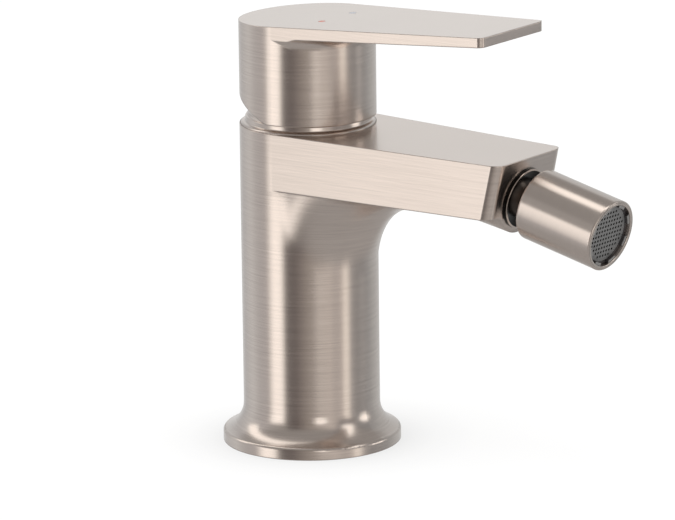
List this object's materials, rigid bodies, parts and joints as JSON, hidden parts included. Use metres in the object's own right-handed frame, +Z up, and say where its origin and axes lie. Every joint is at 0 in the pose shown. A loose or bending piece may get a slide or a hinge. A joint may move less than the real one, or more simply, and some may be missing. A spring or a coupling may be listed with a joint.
{
  "type": "bidet mixer",
  "caption": "Single-lever bidet mixer: round column on a flared foot, flat tapered spout with a swivelling nozzle, and a flat tapered lever handle.",
  "frame": {"origin": "centre of the foot's mounting face, on the column's axis", "axes": "+Z up along the column, +X along the spout and the lever, +Y to the left seen from behind the mixer"},
  "size_m": [0.1561, 0.06, 0.1508],
  "materials": {
    "brushed_nickel": "brushed nickel plating, satin",
    "dark_nickel": "plain turned metal, darkened",
    "inner_steel": "plain stainless steel",
    "raw_brass": "machined, unplated",
    "ceramic": "lapped ceramic",
    "cartridge_plastic": "moulded, matt",
    "turret_plastic": "moulded, matt",
    "carrier_plastic": "moulded, matt",
    "aerator_grey": "moulded, matt",
    "grid_grey": "moulded, satin",
    "seal_rubber": "black rubber",
    "hot_red": "enamel, satin",
    "cold_blue": "enamel, satin"
  },
  "bodies": {
    "mixer_body": {"body": "brushed_nickel", "base_seal": "seal_rubber", "cartridge_base": "cartridge_plastic", "port_seals": "seal_rubber", "disc_seals": "seal_rubber", "fixed_disc": "ceramic", "cartridge_housing": "cartridge_plastic", "housing_seal": "seal_rubber", "cartridge_nut": "raw_brass", "trim_ring": "brushed_nickel", "ball_seal": "seal_rubber", "ball_retainer": "brushed_nickel"},
    "turret": {"turret": "turret_plastic", "turret_seal": "seal_rubber", "stem_pin": "inner_steel"},
    "lever": {"stem": "inner_steel", "handle": "brushed_nickel", "set_screw": "inner_steel", "screw_plug": "brushed_nickel", "hot_dot": "hot_red", "cold_dot": "cold_blue"},
    "mixing_disc": {"moving_disc": "ceramic", "disc_carrier": "carrier_plastic"},
    "swivel_seat": {"ball_seat": "turret_plastic"},
    "nozzle": {"swivel_ball": "dark_nickel", "neck_washer": "seal_rubber", "nozzle_shell": "brushed_nickel", "aerator_washer": "seal_rubber", "aerator_housing": "aerator_grey", "aerator_diffuser": "aerator_grey", "aerator_screens": "inner_steel", "aerator_grid": "grid_grey"}
  },
  "joints": [
    {"name": "turret_turn", "type": "hinge", "parent": "mixer_body", "child": "turret", "pos_m": [0, 0, 0.104], "axis": [0, 0, 1], "range_deg": [-50, 50]},
    {"name": "handle_tilt", "type": "hinge", "parent": "turret", "child": "lever", "pos_m": [0, 0, 0.104], "axis": [0, -1, 0], "range_deg": [0, 25]},
    {"name": "disc_slide", "type": "slide", "parent": "turret", "child": "mixing_disc", "axis": [1, 0, 0], "range_m": [0, 0.006]},
    {"name": "nozzle_swing", "type": "hinge", "parent": "mixer_body", "child": "swivel_seat", "pos_m": [0.08533, 0, 0.09608], "axis": [0.9751, 0, -0.2215], "continuous": true},
    {"name": "nozzle_tilt", "type": "hinge", "parent": "swivel_seat", "child": "nozzle", "pos_m": [0.08533, 0, 0.09608], "axis": [0, 1, 0], "range_deg": [-18, 18]}
  ],
  "couplings": [
    {"joint": "disc_slide", "follows": "handle_tilt", "m_per_rad": 0.01369}
  ]
}
